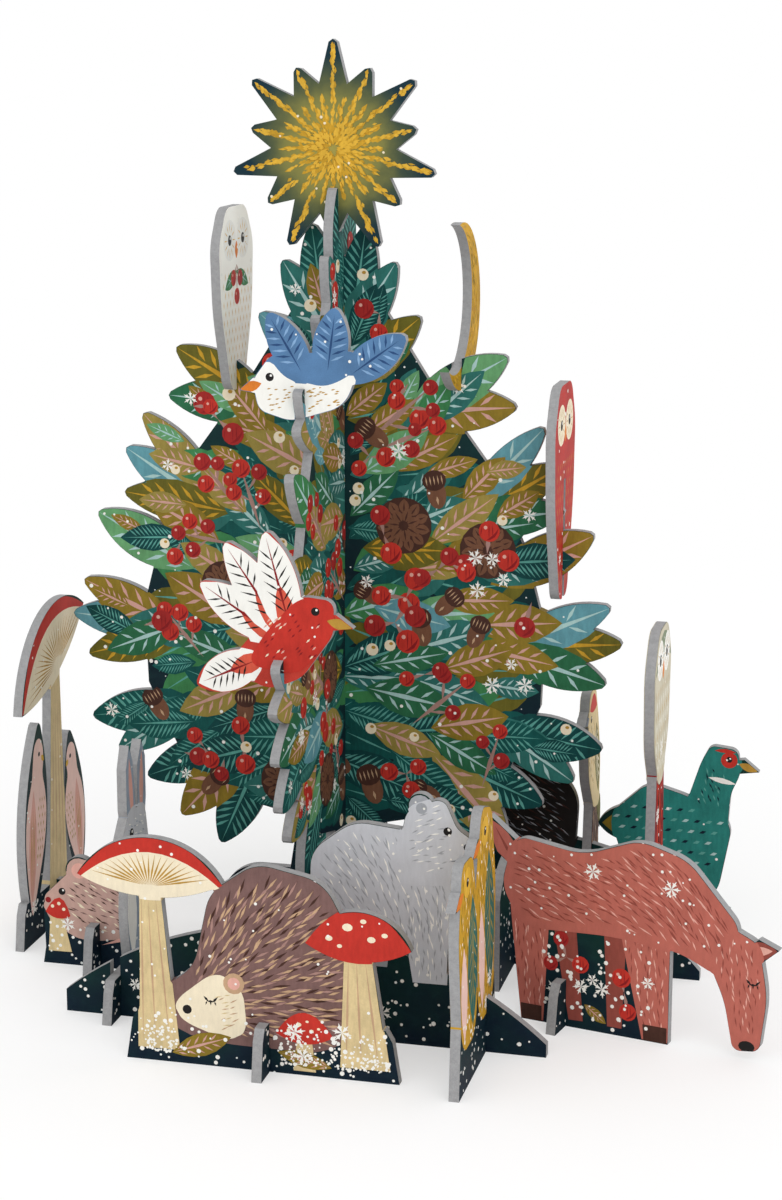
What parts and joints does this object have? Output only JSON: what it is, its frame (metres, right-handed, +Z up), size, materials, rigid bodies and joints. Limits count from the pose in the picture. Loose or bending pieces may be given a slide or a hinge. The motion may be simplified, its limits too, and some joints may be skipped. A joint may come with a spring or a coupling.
{
  "type": "pop-up advent calendar",
  "caption": "Table-top advent scene of slotted printed boards: a leafy tree of crossed panels with a star, perched birds, owls and a moon, ringed by stand-up woodland animals.",
  "frame": {"origin": "on the table under the tree's axis, in the middle of the wide panel's foot", "axes": "+Z up along the tree, +X to the right seen from the front, +Y to the back"},
  "size_m": [0.2551, 0.2088, 0.2902],
  "materials": {
    "tree_print": "matte",
    "star_print": "matte",
    "cream_print": "matte",
    "gold_print": "matte",
    "red_print": "matte",
    "blue_print": "matte",
    "brown_print": "matte",
    "mound_print": "matte",
    "grey_print": "matte",
    "yellow_print": "matte",
    "rust_print": "matte",
    "owl_print": "matte"
  },
  "bodies": {
    "root": {"tree_wide_panel": "tree_print", "tree_cross_panel": "tree_print", "star_topper": "star_print", "pale_owl": "cream_print", "red_owl": "red_print", "crescent_moon": "gold_print", "blue_bird": "blue_print", "red_bird": "red_print", "hedgehog_mound": "brown_print", "hedgehog_foot": "mound_print", "bear_mound": "mound_print", "hare_stand": "grey_print", "twin_birds_stand": "yellow_print", "mouse_mound": "brown_print", "mouse_foot": "mound_print", "tall_mushroom_stand": "cream_print", "mushroom_foot": "mound_print", "deer_panel": "rust_print", "deer_foot": "mound_print", "right_mound": "mound_print", "right_foot": "mound_print", "tall_owl_stand": "owl_print", "back_mound": "mound_print", "woodpecker_stand": "gold_print"}
  },
  "joints": []
}
